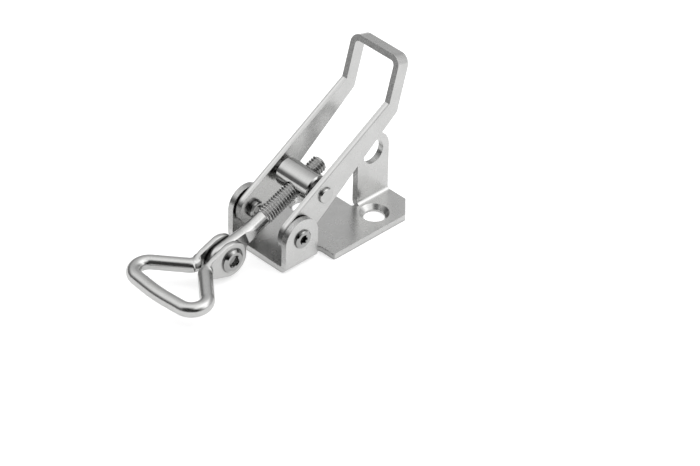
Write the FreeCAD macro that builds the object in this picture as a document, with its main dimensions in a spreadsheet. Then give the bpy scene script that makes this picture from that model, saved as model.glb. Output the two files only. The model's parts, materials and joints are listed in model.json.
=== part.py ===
# Adjustable toggle latch with a padlock eye, as one parametric document in millimetres.
# Origin: on the mounting face, in the middle plane, straight under the handle's pivot.
# +X runs towards the handle's grip, +Z away from the mounting face, and the bail lies at -X.

import FreeCAD
import Part
import math
import os
import Sketcher

doc = FreeCAD.newDocument("toggle_latch")

# Driving dimensions

SIZES = [
    ("SheetThickness", 2.2, "stock of the bracket and of the handle"),
    ("BendRadius", 0.8, "inside of the channel's bends"),
    ("ChannelWidth", 27.8, "outside, over both ears"),
    ("EarWidth", 14.2, "along X, and the diameter of the ear's round top"),
    ("PivotHeight", 11.3, "pivot axis above the mounting face"),
    ("PlateStart", 10.2, "front edge of the side flanges"),
    ("PlateHalfWidth", 18.4, "middle plane to either flange's edge"),
    ("PlateEnd", 49.0, "rear edge of the plate"),
    ("FlangeEnd", 33.0, "rear edge of the flange on the padlock side"),
    ("CornerCut", 6.4, "leg of the cut rear corner"),
    ("PlateCorner", 0.8, "radius of the plate's sheared corners"),
    ("ReliefHalfSpan", 10.2, "middle plane to the relief behind either ear"),
    ("ReliefRadius", 2.6, "round root of that relief"),
    ("TabWidth", 14.2, "padlock tab along X, and the diameter of its round top"),
    ("TabFace", 3.5, "middle plane to the tab's face on the screw side"),
    ("TabBend", 1.4, "inside of the tab's bend"),
    ("TabReliefDepth", 3.0, "middle plane to the root of the relief beside the tab"),
    ("TabReliefRadius", 0.8, "round root of that relief"),
    ("PadlockHeight", 20.2, "padlock hole above the mounting face"),
    ("PadlockHole", 8.8, "diameter"),
    ("ScrewHole", 7.2, "diameter of both countersunk holes"),
    ("Countersink", 10.2, "diameter at the top face, 90 degrees"),
    ("RearScrewX", 36.0, "rear hole from the pivot"),
    ("RearScrewY", 10.5, "rear hole from the middle plane"),
    ("FrontScrewX", 22.0, "front hole from the pivot"),
    ("FrontScrewY", 9.0, "front hole from the middle plane, on the other side"),
    ("ArmGap", 0.6, "between an ear and the arm beside it"),
    ("ArmEndRadius", 6.0, "round end of an arm at the pivot"),
    ("ArmEndRise", 0.5, "centre of that round above the pivot axis"),
    ("ArmTaper", 6.8, "degrees between an arm's upper and lower edge"),
    ("KinkDistance", 52.2, "pivot to the kink below the grip"),
    ("KinkRadius", 1.6, "outside of the kink"),
    ("GripRise", 36.6, "degrees between the arms and the grip"),
    ("GripLength", 16.5, "kink to the end face of the grip"),
    ("GripBend", 1.6, "inside of the two bends at the grip"),
    ("HandleAngle", 37.9, "degrees that the handle is raised as drawn"),
    ("BarrelDistance", 16.0, "pivot axis to barrel axis"),
    ("BarrelDiameter", 10.0, "body of the barrel"),
    ("BarrelGap", 1.4, "between the barrel's shoulder and an arm"),
    ("BarrelEdge", 0.5, "chamfer of the barrel's shoulders"),
    ("JournalDiameter", 5.3, "barrel's journals in the arms"),
    ("JournalProud", 1.0, "journal end outside the arm"),
    ("JournalEdge", 0.25, "chamfer of a journal's end"),
    ("RunningFit", 0.05, "radial clearance of a pin that turns in its hole"),
    ("ThreadFit", 0.05, "radial clearance over the thread's crests"),
    ("ThreadDiameter", 6.0, "M6 over its crests"),
    ("ShankDiameter", 5.3, "unthreaded part"),
    ("TailLength", 9.3, "barrel axis to the rod's free end"),
    ("TailChamfer", 0.9, "lead-in chamfer of the free end"),
    ("ThreadEnd", 18.2, "barrel axis to the end of the thread"),
    ("ShoulderStart", 23.4, "barrel axis to where the forged flats begin"),
    ("FlatStart", 27.3, "barrel axis to where the flats reach their depth"),
    ("FlatThickness", 3.2, "forged eye across its flats"),
    ("NeckHalfHeight", 3.1, "forged eye at its neck, from its axis"),
    ("EyeDistance", 36.5, "barrel axis to the rivet's hole"),
    ("EyeEnd", 38.2, "barrel axis to the centre of the eye's round end"),
    ("EyeRadius", 5.5, "round end of the eye"),
    ("EyeEdge", 0.5, "bevel of the eye's rim"),
    ("RodAngle", 21.3, "degrees that the rod dips towards the bail"),
    ("EarGap", 0.25, "between the eye's flat and a bail ear"),
    ("BailEarThickness", 1.9, "flattened end of the wire"),
    ("BailEarRadius", 6.3, "round end of a bail ear"),
    ("BailEarNeck", 4.0, "half height of the ear at its root"),
    ("BailEarLength", 7.5, "rivet axis to the ear's root"),
    ("WireDiameter", 5.0, "bail wire"),
    ("WireStart", 9.3, "rivet axis to where the wire is round"),
    ("NeckCone", 1.6, "length over which the flattened wire grows to its full diameter"),
    ("KneeDistance", 11.0, "rivet axis to the knee below an ear"),
    ("KneeRadius", 3.2, "wire axis in the knee"),
    ("CornerDistance", 27.3, "rivet axis to the sharp corner of the wire's axis"),
    ("CornerHalfSpan", 23.0, "middle plane to that corner"),
    ("CornerRadius", 5.0, "wire axis in the corner"),
    ("CrownDistance", 29.3, "rivet axis to the crown of the crossbar"),
    ("CrownRadius", 60.0, "wire axis at the crown"),
    ("BailAngle", 1.0, "degrees that the bail dips as drawn"),
    ("BailRivetDiameter", 6.0, "shank through the bail's ears"),
    ("BailHeadDiameter", 8.6, "head with the recess"),
    ("BailHeadFace", 3.4, "radius of that head's flat face"),
    ("BailHeadHeight", 1.2, "both heads of the bail's rivet"),
    ("BailButtonDiameter", 8.4, "solid head on the other side"),
    ("BailHeadRim", 0.4, "straight rim of both heads"),
    ("BailRecessMouth", 2.2, "radius of the round mouth over the recess"),
    ("BailMouthDepth", 0.35, "of that mouth"),
    ("BailRecessRoot", 1.5, "radius of the recess between its lobes"),
    ("BailRecessLobe", 0.5, "radius of one lobe"),
    ("BailRecessDepth", 2.2, "of the star recess"),
    ("PivotRivetDiameter", 5.0, "shank through an ear and an arm"),
    ("PivotHeadRadius", 3.2, "outer head at the ear"),
    ("PivotHeadFace", 2.6, "radius of the outer head's flat face"),
    ("PivotHeadHeight", 0.9, "outer head"),
    ("PivotRecessRoot", 1.2, "radius of the recess between its lobes"),
    ("PivotRecessLobe", 0.5, "radius of one lobe"),
    ("PivotRecessDepth", 1.7, "of the star recess"),
    ("InnerHeadRadius", 3.1, "head inside the arm"),
    ("InnerHeadHeight", 1.9, "head inside the arm"),
    ("InnerHeadBevel", 0.5, "bevel of that head"),
    ("InnerDimpleRadius", 2.0, "hollow that the riveting leaves in that head"),
    ("InnerDimpleDepth", 0.8, "of that hollow"),
    ("HeadGap", 0.1, "between that head and the arm"),
]

sheet = doc.addObject("Spreadsheet::Sheet", "dims")
for row, (alias, value, note) in enumerate(SIZES, start=1):
    sheet.set("A%d" % row, alias)
    sheet.set("B%d" % row, str(value))
    sheet.set("C%d" % row, note)
    sheet.setAlias("B%d" % row, alias)
doc.recompute()

# Expressions that several pieces share

EAR_OUTSIDE = "dims.ChannelWidth / 2"
EAR_INSIDE = "(dims.ChannelWidth / 2 - dims.SheetThickness)"
ARM_OUTSIDE = "(dims.ChannelWidth / 2 - dims.SheetThickness - dims.ArmGap)"
ARM_INSIDE = "(dims.ChannelWidth / 2 - 2 * dims.SheetThickness - dims.ArmGap)"
TAB_FRONT = "(dims.PlateEnd - dims.TabWidth)"
TAB_CENTRE = "(dims.PlateEnd - dims.TabWidth / 2)"
BARREL_X = "dims.BarrelDistance * cos(dims.HandleAngle * 1deg)"
BARREL_Z = "dims.PivotHeight + dims.BarrelDistance * sin(dims.HandleAngle * 1deg)"
EYE_X = BARREL_X + " - dims.EyeDistance * cos(dims.RodAngle * 1deg)"
EYE_Z = BARREL_Z + " - dims.EyeDistance * sin(dims.RodAngle * 1deg)"
BAIL_EAR_INSIDE = "(dims.FlatThickness / 2 + dims.EarGap)"
BAIL_EAR_OUTSIDE = "(dims.FlatThickness / 2 + dims.EarGap + dims.BailEarThickness)"
WIRE_OFFSET = "(dims.FlatThickness / 2 + dims.EarGap + dims.BailEarThickness / 2)"


def size(alias):
    """The value of one driving dimension as a plain number."""
    return float(sheet.get(alias))


# Sketching helpers

def new_body(label):
    body = doc.addObject("PartDesign::Body", label)
    body.Label = label
    return body


def new_sketch(body, name, plane="XY_Plane", lift=None):
    """A sketch on one of the body's own planes, lifted along that plane's normal."""
    sketch = body.newObject("Sketcher::SketchObject", name)
    support = next(item for item in body.Origin.OriginFeatures if item.Role == plane)
    sketch.AttachmentSupport = (support, "")
    sketch.MapMode = "FlatFace"
    if lift:
        sketch.setExpression("AttachmentOffset.Base.z", lift)
    return sketch


def bind(sketch, constraint, expression):
    """Add a dimension and let an expression of the sheet drive it."""
    index = sketch.addConstraint(constraint)
    sketch.setExpression("Constraints[%d]" % index, expression)


def add_circle(sketch, radius, x="0", y="0"):
    start = Part.Circle(FreeCAD.Vector(1, 1, 0), FreeCAD.Vector(0, 0, 1), 1)
    index = sketch.addGeometry(start, False)
    bind(sketch, Sketcher.Constraint("DistanceX", index, 3, 1.0), x)
    bind(sketch, Sketcher.Constraint("DistanceY", index, 3, 1.0), y)
    bind(sketch, Sketcher.Constraint("Radius", index, 1.0), radius)


def add_outline(sketch, corners, closed=True):
    """Straight runs through the corners (x, y, radius or None), with each named radius as a tangent arc."""
    points = []
    for number, (x, y, _) in enumerate(corners):
        start = FreeCAD.Vector(number + 1, number * number, 0)
        index = sketch.addGeometry(Part.Point(start), True)
        bind(sketch, Sketcher.Constraint("DistanceX", index, 1, start.x), x)
        bind(sketch, Sketcher.Constraint("DistanceY", index, 1, start.y), y)
        points.append(index)
    doc.recompute()
    places = [sketch.getPoint(index, 1) for index in points]
    count = len(corners)

    arcs = {}
    ends = {}
    for i, (_, _, radius) in enumerate(corners):
        here = places[i]
        ends[i] = (here, here)
        if radius is None:
            continue
        back = (places[i - 1] - here).normalize()
        ahead = (places[(i + 1) % count] - here).normalize()
        half_angle = back.getAngle(ahead) / 2
        value = size(radius) if radius in NAMES else NUMBERS[radius]()
        reach = value / math.tan(half_angle)
        centre = here + (back + ahead).normalize() * (value / math.sin(half_angle))
        first = here + back * reach
        last = here + ahead * reach
        turn = (first - centre).cross(last - centre).z
        begin, finish = (first, last) if turn > 0 else (last, first)
        angles = [math.atan2(p.y - centre.y, p.x - centre.x) for p in (begin, finish)]
        if angles[1] < angles[0]:
            angles[1] += 2 * math.pi
        circle = Part.Circle(centre, FreeCAD.Vector(0, 0, 1), value)
        index = sketch.addGeometry(Part.ArcOfCircle(circle, *angles), False)
        arcs[i] = (index, 1 if turn > 0 else 2, 2 if turn > 0 else 1, radius)
        ends[i] = (first, last)

    runs = {}
    for i in range(count if closed else count - 1):
        j = (i + 1) % count
        runs[i] = sketch.addGeometry(Part.LineSegment(ends[i][1], ends[j][0]), False)
    for i in range(count):
        arriving = runs.get((i - 1) % count) if closed or i > 0 else None
        leaving = runs.get(i) if closed or i < count - 1 else None
        if i in arcs:
            index, enter, leave, radius = arcs[i]
            sketch.addConstraint(Sketcher.Constraint("Tangent", arriving, 2, index, enter))
            sketch.addConstraint(Sketcher.Constraint("Tangent", index, leave, leaving, 1))
            sketch.addConstraint(Sketcher.Constraint("PointOnObject", points[i], 1, arriving))
            sketch.addConstraint(Sketcher.Constraint("PointOnObject", points[i], 1, leaving))
            driver = "dims." + radius if radius in NAMES else radius
            bind(sketch, Sketcher.Constraint("Radius", index, sketch.Geometry[index].Radius), driver)
            continue
        if arriving is not None:
            sketch.addConstraint(Sketcher.Constraint("Coincident", arriving, 2, points[i], 1))
        if leaving is not None:
            sketch.addConstraint(Sketcher.Constraint("Coincident", leaving, 1, points[i], 1))
    doc.recompute()
    return places


NAMES = {alias for alias, _, _ in SIZES}
OUTER_BEND = "dims.BendRadius + dims.SheetThickness"
TAB_OUTER_BEND = "dims.TabBend + dims.SheetThickness"
NUMBERS = {
    OUTER_BEND: lambda: size("BendRadius") + size("SheetThickness"),
    TAB_OUTER_BEND: lambda: size("TabBend") + size("SheetThickness"),
}


# Feature helpers

def add_pad(body, sketch, length, both_ways=False, reverse=False):
    pad = body.newObject("PartDesign::Pad", sketch.Name + "_pad")
    pad.Profile = sketch
    pad.setExpression("Length", length)
    pad.SideType = "Symmetric" if both_ways else "One side"
    pad.Reversed = reverse
    pad.Refine = True
    doc.recompute()
    return pad


def add_pocket(body, sketch, length, both_ways=True):
    before = body.Shape.Volume
    pocket = body.newObject("PartDesign::Pocket", sketch.Name + "_pocket")
    pocket.Profile = sketch
    pocket.setExpression("Length", length)
    pocket.SideType = "Symmetric" if both_ways else "One side"
    pocket.Refine = True
    doc.recompute()
    if not pocket.Shape.Volume < before:
        pocket.Reversed = True
        doc.recompute()
    return pocket


def add_turned(body, sketch, axis):
    turned = body.newObject("PartDesign::Revolution", sketch.Name + "_turned")
    turned.Profile = sketch
    line = next(item for item in body.Origin.OriginFeatures if item.Role == axis)
    turned.ReferenceAxis = (line, [""])
    turned.Angle = 360
    doc.recompute()
    return turned


def edges_where(base, wanted):
    """The names of the edges whose middle the test accepts."""
    names = []
    for number, edge in enumerate(base.Shape.Edges, start=1):
        middle = edge.valueAt((edge.FirstParameter + edge.LastParameter) / 2)
        if wanted(middle, edge):
            names.append("Edge%d" % number)
    return names


def add_fillet(body, radius, wanted):
    base = body.Tip
    fillet = body.newObject("PartDesign::Fillet", "rounding")
    fillet.Base = (base, edges_where(base, wanted))
    fillet.setExpression("Radius", radius)
    doc.recompute()
    return fillet


def add_bevel(body, size_expression, wanted):
    base = body.Tip
    bevel = body.newObject("PartDesign::Chamfer", "bevel")
    bevel.Base = (base, edges_where(base, wanted))
    bevel.setExpression("Size", size_expression)
    doc.recompute()
    return bevel


def add_star_recess(body, name, plane, lift, depth, root, lobe, axis):
    """A six-lobed driver recess: a round pocket and one lobe, repeated about the axis."""
    core = new_sketch(body, name + "_core", plane, lift)
    add_circle(core, root)
    add_pocket(body, core, depth, both_ways=False)
    sketch = new_sketch(body, name + "_lobe", plane, lift)
    add_circle(sketch, lobe, root)
    pocket = add_pocket(body, sketch, depth, both_ways=False)
    pattern = body.newObject("PartDesign::PolarPattern", name + "_lobes")
    pattern.Originals = [pocket]
    line = next(item for item in body.Origin.OriginFeatures if item.Role == axis)
    pattern.Axis = (line, [""])
    pattern.Angle = 360
    pattern.Occurrences = 6
    body.Tip = pattern
    doc.recompute()
    return pattern


# Base bracket: one blanked sheet. Both ears and the padlock tab are bent up from it.

bracket = new_body("base_bracket")

blank = new_sketch(bracket, "blank")
add_outline(blank, [
    ("0", "-dims.ReliefHalfSpan", None),
    ("dims.PlateStart", "-dims.ReliefHalfSpan", "ReliefRadius"),
    ("dims.PlateStart", "-dims.PlateHalfWidth", "PlateCorner"),
    ("dims.PlateEnd - dims.CornerCut", "-dims.PlateHalfWidth", None),
    ("dims.PlateEnd", "-dims.PlateHalfWidth + dims.CornerCut", None),
    ("dims.PlateEnd", "-dims.TabFace - dims.TabBend", None),
    (TAB_FRONT, "-dims.TabFace - dims.TabBend", None),
    (TAB_FRONT, "-dims.TabReliefDepth", None),
    ("dims.FlangeEnd", "-dims.TabReliefDepth", "TabReliefRadius"),
    ("dims.FlangeEnd", "dims.PlateHalfWidth", "PlateCorner"),
    ("dims.PlateStart", "dims.PlateHalfWidth", "PlateCorner"),
    ("dims.PlateStart", "dims.ReliefHalfSpan", "ReliefRadius"),
    ("0", "dims.ReliefHalfSpan", None),
])
add_pad(bracket, blank, "dims.SheetThickness")

channel = new_sketch(bracket, "channel", "YZ_Plane")
add_outline(channel, [
    ("-" + EAR_OUTSIDE, "dims.PivotHeight", None),
    ("-" + EAR_OUTSIDE, "0", OUTER_BEND),
    (EAR_OUTSIDE, "0", OUTER_BEND),
    (EAR_OUTSIDE, "dims.PivotHeight", None),
    (EAR_INSIDE, "dims.PivotHeight", None),
    (EAR_INSIDE, "dims.SheetThickness", "BendRadius"),
    ("-" + EAR_INSIDE, "dims.SheetThickness", "BendRadius"),
    ("-" + EAR_INSIDE, "dims.PivotHeight", None),
])
add_pad(bracket, channel, "dims.EarWidth", both_ways=True)

for side, lift in (("near", EAR_INSIDE), ("far", "-" + EAR_OUTSIDE)):
    round_top = new_sketch(bracket, side + "_ear_top", "XZ_Plane", lift)
    add_circle(round_top, "dims.EarWidth / 2", "0", "dims.PivotHeight")
    add_pad(bracket, round_top, "dims.SheetThickness")

tab = new_sketch(bracket, "tab", "YZ_Plane", TAB_FRONT)
add_outline(tab, [
    ("-dims.TabFace - dims.TabBend - 1", "0", None),
    ("-dims.TabFace + dims.SheetThickness", "0", TAB_OUTER_BEND),
    ("-dims.TabFace + dims.SheetThickness", "dims.PadlockHeight", None),
    ("-dims.TabFace", "dims.PadlockHeight", None),
    ("-dims.TabFace", "dims.SheetThickness", "TabBend"),
    ("-dims.TabFace - dims.TabBend - 1", "dims.SheetThickness", None),
])
add_pad(bracket, tab, "dims.TabWidth")

tab_top = new_sketch(bracket, "tab_top", "XZ_Plane", "dims.TabFace - dims.SheetThickness")
add_circle(tab_top, "dims.TabWidth / 2", TAB_CENTRE, "dims.PadlockHeight")
add_pad(bracket, tab_top, "dims.SheetThickness")

padlock_hole = new_sketch(bracket, "padlock_hole", "XZ_Plane")
add_circle(padlock_hole, "dims.PadlockHole / 2", TAB_CENTRE, "dims.PadlockHeight")
add_pocket(bracket, padlock_hole, "4 * dims.TabFace")

rivet_holes = new_sketch(bracket, "rivet_holes", "XZ_Plane")
add_circle(rivet_holes, "dims.PivotRivetDiameter / 2", "0", "dims.PivotHeight")
add_pocket(bracket, rivet_holes, "dims.ChannelWidth + 2")

screw_places = new_sketch(bracket, "screw_places", "XY_Plane", "dims.SheetThickness")
add_circle(screw_places, "dims.ScrewHole / 2", "dims.RearScrewX", "-dims.RearScrewY")
add_circle(screw_places, "dims.ScrewHole / 2", "dims.FrontScrewX", "dims.FrontScrewY")
doc.recompute()
screw_holes = bracket.newObject("PartDesign::Hole", "screw_holes")
screw_holes.Profile = screw_places
screw_holes.ThreadType = "None"
screw_holes.DepthType = "ThroughAll"
screw_holes.HoleCutType = "Countersink"
screw_holes.HoleCutCustomValues = True
screw_holes.HoleCutCountersinkAngle = 90
screw_holes.setExpression("Diameter", "dims.ScrewHole")
screw_holes.setExpression("HoleCutDiameter", "dims.Countersink")
doc.recompute()

# Handle: one strip bent to a long U. Drawn with its arms along X and the pivot at the origin.

handle = new_body("handle")

KINK_TOP = ("(dims.ArmEndRise + dims.ArmEndRadius * cos(dims.ArmTaper * 1deg)"
            " - (dims.KinkDistance - dims.ArmEndRadius * sin(dims.ArmTaper * 1deg))"
            " * tan(dims.ArmTaper * 1deg))")
KINK_BOTTOM = "(dims.ArmEndRise - dims.ArmEndRadius)"
GRIP_WIDTH = "((%s - %s) * cos(dims.GripRise * 1deg))" % (KINK_TOP, KINK_BOTTOM)
GRIP_X = "dims.KinkDistance + %s * cos(dims.GripRise * 1deg)"
GRIP_Z = KINK_TOP + " + %s * sin(dims.GripRise * 1deg)"
ACROSS_X = " + %s * sin(dims.GripRise * 1deg)"
ACROSS_Z = " - %s * cos(dims.GripRise * 1deg)"
INNER_REACH = "(dims.GripLength - dims.SheetThickness)"

side_view = new_sketch(handle, "side_view", "XZ_Plane")
handle_corners = add_outline(side_view, [
    ("0", KINK_BOTTOM, None),
    ("dims.KinkDistance", KINK_BOTTOM, "KinkRadius"),
    (GRIP_X % "dims.GripLength" + ACROSS_X % GRIP_WIDTH,
     GRIP_Z % "dims.GripLength" + ACROSS_Z % GRIP_WIDTH, None),
    (GRIP_X % "dims.GripLength", GRIP_Z % "dims.GripLength", None),
    ("dims.KinkDistance", KINK_TOP, None),
    ("dims.ArmEndRadius * sin(dims.ArmTaper * 1deg)",
     "dims.ArmEndRise + dims.ArmEndRadius * cos(dims.ArmTaper * 1deg)", None),
])
add_pad(handle, side_view, "2 * " + ARM_OUTSIDE, both_ways=True)

arm_end = new_sketch(handle, "arm_end", "XZ_Plane")
add_circle(arm_end, "dims.ArmEndRadius", "0", "dims.ArmEndRise")
add_pad(handle, arm_end, "2 * " + ARM_OUTSIDE, both_ways=True)

opening = new_sketch(handle, "opening", "XZ_Plane")
add_outline(opening, [
    (GRIP_X % INNER_REACH + ACROSS_X % ("3 * " + GRIP_WIDTH),
     GRIP_Z % INNER_REACH + ACROSS_Z % ("3 * " + GRIP_WIDTH), None),
    ("-2 * dims.ArmEndRadius", "-4 * dims.ArmEndRadius", None),
    ("-2 * dims.ArmEndRadius", "8 * dims.ArmEndRadius", None),
    (GRIP_X % INNER_REACH + ACROSS_X % ("-3 * " + GRIP_WIDTH),
     GRIP_Z % INNER_REACH + ACROSS_Z % ("-3 * " + GRIP_WIDTH), None),
])
add_pocket(handle, opening, "2 * " + ARM_INSIDE)

tip_low, tip_high = handle_corners[2], handle_corners[3]
tip_middle = (tip_low + tip_high) * 0.5
tip_width = (tip_high - tip_low).Length


def at_grip_bend(y):
    """Accepts the edges across the strip's width at the grip's two corners, at this distance from the middle."""
    def accept(middle, edge):
        flat = FreeCAD.Vector(middle.x, middle.z, 0)
        near_tip = (flat - tip_middle).Length < 1.5 * size("SheetThickness")
        return near_tip and abs(abs(middle.y) - y) < 0.01 and abs(edge.Length - tip_width) < 0.01
    return accept


arm_outside = size("ChannelWidth") / 2 - size("SheetThickness") - size("ArmGap")
add_fillet(handle, "dims.GripBend", at_grip_bend(arm_outside - size("SheetThickness")))
add_fillet(handle, "dims.GripBend + dims.SheetThickness", at_grip_bend(arm_outside))

arm_holes = new_sketch(handle, "arm_holes", "XZ_Plane")
add_circle(arm_holes, "dims.PivotRivetDiameter / 2 + dims.RunningFit")
add_circle(arm_holes, "dims.JournalDiameter / 2 + dims.RunningFit", "dims.BarrelDistance", "0")
add_pocket(handle, arm_holes, "dims.ChannelWidth")

handle.Placement = FreeCAD.Placement(FreeCAD.Vector(0, 0, 0), FreeCAD.Rotation(FreeCAD.Vector(0, -1, 0), 30))
handle.setExpression("Placement.Base.z", "dims.PivotHeight")
handle.setExpression("Placement.Rotation.Angle", "dims.HandleAngle")

# Barrel: a turned cross nut. Its journals turn in the arms and the rod screws through it.

barrel = new_body("barrel")
JOURNAL_END = "(%s + dims.JournalProud)" % ARM_OUTSIDE
SHOULDER = "(%s - dims.BarrelGap)" % ARM_INSIDE
JOURNAL = "dims.JournalDiameter / 2"
BODY = "dims.BarrelDiameter / 2"

barrel_profile = new_sketch(barrel, "barrel_profile")
add_outline(barrel_profile, [
    ("0", "-" + JOURNAL_END, None),
    (JOURNAL + " - dims.JournalEdge", "-" + JOURNAL_END, None),
    (JOURNAL, "-" + JOURNAL_END + " + dims.JournalEdge", None),
    (JOURNAL, "-" + SHOULDER, None),
    (BODY + " - dims.BarrelEdge", "-" + SHOULDER, None),
    (BODY, "-" + SHOULDER + " + dims.BarrelEdge", None),
    (BODY, SHOULDER + " - dims.BarrelEdge", None),
    (BODY + " - dims.BarrelEdge", SHOULDER, None),
    (JOURNAL, SHOULDER, None),
    (JOURNAL, JOURNAL_END + " - dims.JournalEdge", None),
    (JOURNAL + " - dims.JournalEdge", JOURNAL_END, None),
    ("0", JOURNAL_END, None),
])
add_turned(barrel, barrel_profile, "Y_Axis")

cross_bore = new_sketch(barrel, "cross_bore", "YZ_Plane")
add_circle(cross_bore, "dims.ThreadDiameter / 2 + dims.ThreadFit")
add_pocket(barrel, cross_bore, "2 * dims.BarrelDiameter")

# Threaded rod: drawn along X with the barrel's axis at the origin and the free end at +X.

rod = new_body("threaded_rod")
CREST = "dims.ThreadDiameter / 2"
SHANK = "dims.ShankDiameter / 2"
RUN_OUT = "(dims.ThreadDiameter - dims.ShankDiameter)"

rod_profile = new_sketch(rod, "rod_profile")
add_outline(rod_profile, [
    ("dims.TailLength", "0", None),
    ("dims.TailLength", CREST + " - dims.TailChamfer", None),
    ("dims.TailLength - dims.TailChamfer", CREST, None),
    ("-dims.ThreadEnd + " + RUN_OUT, CREST, None),
    ("-dims.ThreadEnd", SHANK, None),
    ("-dims.FlatStart", SHANK, None),
    ("-dims.FlatStart", "0", None),
])
add_turned(rod, rod_profile, "X_Axis")

for side, sign in (("near", "-"), ("far", "")):
    flat = new_sketch(rod, side + "_flat")
    add_outline(flat, [
        ("-dims.ShoulderStart", sign + SHANK, None),
        ("-dims.FlatStart", sign + "dims.FlatThickness / 2", None),
        ("-dims.FlatStart - 2", sign + "dims.FlatThickness / 2", None),
        ("-dims.FlatStart - 2", sign + "dims.ThreadDiameter", None),
        ("-dims.ShoulderStart", sign + "dims.ThreadDiameter", None),
    ])
    add_pocket(rod, flat, "2 * dims.ThreadDiameter")

eye = new_sketch(rod, "eye", "XZ_Plane")
add_outline(eye, [
    ("-(dims.ShoulderStart + dims.FlatStart) / 2", "-dims.ShankDiameter / 3", None),
    ("-(dims.ShoulderStart + dims.FlatStart) / 2", "dims.ShankDiameter / 3", None),
    ("-dims.FlatStart", "dims.NeckHalfHeight", None),
    ("-dims.EyeEnd + dims.EyeRadius / 4", "dims.EyeRadius * 0.968", None),
    ("-dims.EyeEnd + dims.EyeRadius / 4", "-dims.EyeRadius * 0.968", None),
    ("-dims.FlatStart", "-dims.NeckHalfHeight", None),
])
add_pad(rod, eye, "dims.FlatThickness", both_ways=True)

eye_round = new_sketch(rod, "eye_round", "XZ_Plane")
add_circle(eye_round, "dims.EyeRadius", "-dims.EyeEnd", "0")
add_pad(rod, eye_round, "dims.FlatThickness", both_ways=True)


def on_eye_rim(middle, edge):
    beyond_neck = middle.x < -size("FlatStart") - 0.1
    return beyond_neck and abs(abs(middle.y) - size("FlatThickness") / 2) < 0.01


add_bevel(rod, "dims.EyeEdge", on_eye_rim)

eye_hole = new_sketch(rod, "eye_hole", "XZ_Plane")
add_circle(eye_hole, "dims.BailRivetDiameter / 2 + dims.RunningFit", "-dims.EyeDistance", "0")
add_pocket(rod, eye_hole, "2 * dims.FlatThickness")

for piece in (barrel, rod):
    piece.Placement = FreeCAD.Placement(FreeCAD.Vector(0, 0, 0), FreeCAD.Rotation(FreeCAD.Vector(0, -1, 0), 30))
    piece.setExpression("Placement.Base.x", BARREL_X)
    piece.setExpression("Placement.Base.z", BARREL_Z)
    piece.setExpression("Placement.Rotation.Angle", "dims.RodAngle")

# Bail: one wire bent to a loop, both ends flattened to ears. The rivet's axis is at the origin.

bail = new_body("bail")

wire_path = new_sketch(bail, "wire_path")
add_outline(wire_path, [
    ("-dims.WireStart", WIRE_OFFSET, None),
    ("-dims.KneeDistance", WIRE_OFFSET, "KneeRadius"),
    ("-dims.CornerDistance", "dims.CornerHalfSpan", "CornerRadius"),
    ("-dims.CrownDistance", "0", "CrownRadius"),
    ("-dims.CornerDistance", "-dims.CornerHalfSpan", "CornerRadius"),
    ("-dims.KneeDistance", "-" + WIRE_OFFSET, "KneeRadius"),
    ("-dims.WireStart", "-" + WIRE_OFFSET, None),
], closed=False)

wire_section = new_sketch(bail, "wire_section", "YZ_Plane", "-dims.WireStart")
add_circle(wire_section, "dims.WireDiameter / 2", WIRE_OFFSET, "0")
doc.recompute()
wire = bail.newObject("PartDesign::AdditivePipe", "wire")
wire.Profile = wire_section
wire.Spine = (wire_path, [])
doc.recompute()

for side, sign, lift in (("far", "", "-" + BAIL_EAR_OUTSIDE), ("near", "-", BAIL_EAR_INSIDE)):
    neck = bail.newObject("PartDesign::AdditiveCone", side + "_neck")
    neck.AttachmentSupport = (next(p for p in bail.Origin.OriginFeatures if p.Role == "YZ_Plane"), "")
    neck.MapMode = "FlatFace"
    neck.setExpression("AttachmentOffset.Base.x", sign + WIRE_OFFSET)
    neck.setExpression("AttachmentOffset.Base.z", "-dims.WireStart")
    neck.setExpression("Radius1", "dims.WireDiameter / 2")
    neck.setExpression("Radius2", "dims.BailEarThickness / 4")
    neck.setExpression("Height", "dims.NeckCone")
    doc.recompute()
    ear = new_sketch(bail, side + "_ear", "XZ_Plane", lift)
    add_outline(ear, [
        ("-dims.WireStart", "-dims.WireDiameter * 0.45", None),
        ("-dims.BailEarLength", "-dims.BailEarNeck", None),
        ("-dims.BailEarRadius / 4", "-dims.BailEarRadius * 0.968", None),
        ("-dims.BailEarRadius / 4", "dims.BailEarRadius * 0.968", None),
        ("-dims.BailEarLength", "dims.BailEarNeck", None),
        ("-dims.WireStart", "dims.WireDiameter * 0.45", None),
    ])
    add_pad(bail, ear, "dims.BailEarThickness")
    ear_round = new_sketch(bail, side + "_ear_round", "XZ_Plane", lift)
    add_circle(ear_round, "dims.BailEarRadius")
    add_pad(bail, ear_round, "dims.BailEarThickness")

ear_holes = new_sketch(bail, "ear_holes", "XZ_Plane")
add_circle(ear_holes, "dims.BailRivetDiameter / 2")
add_pocket(bail, ear_holes, "4 * " + BAIL_EAR_OUTSIDE)

# Bail rivet: turned about Y, with a star recess in the head on the -Y side.

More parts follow.
